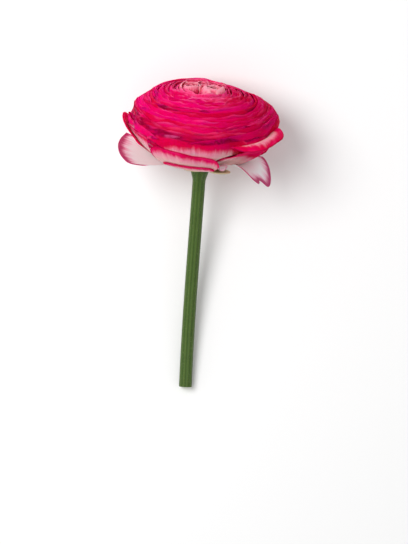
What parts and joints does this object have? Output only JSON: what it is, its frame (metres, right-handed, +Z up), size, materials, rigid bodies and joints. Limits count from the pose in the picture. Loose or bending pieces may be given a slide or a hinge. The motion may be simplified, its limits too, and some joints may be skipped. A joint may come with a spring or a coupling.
{
  "type": "ranunculus flower",
  "caption": "Cut ranunculus flower lying on a surface: a dense domed bloom of nested magenta petals, pale curled petals at its eye, spread white petals, sepals and a bare ribbed stem.",
  "frame": {"origin": "on the surface that the flower lies on, under the middle of its bounding box", "axes": "+Y along the flower as it lies, from the cut end of the stem to the bloom; +Z up; +X to the right when the flower is seen from above with the bloom at the top"},
  "size_m": [0.1006, 0.1886, 0.0888],
  "materials": {
    "petal": "satin",
    "eye_petal": "satin",
    "guard_petal": "satin",
    "sepal": "matte",
    "stem": "satin"
  },
  "bodies": {
    "root": {"petals": "petal", "eye_petals": "eye_petal", "guard_petal_left": "guard_petal", "guard_petal_right": "guard_petal", "sepals": "sepal", "stem": "stem"}
  },
  "joints": []
}
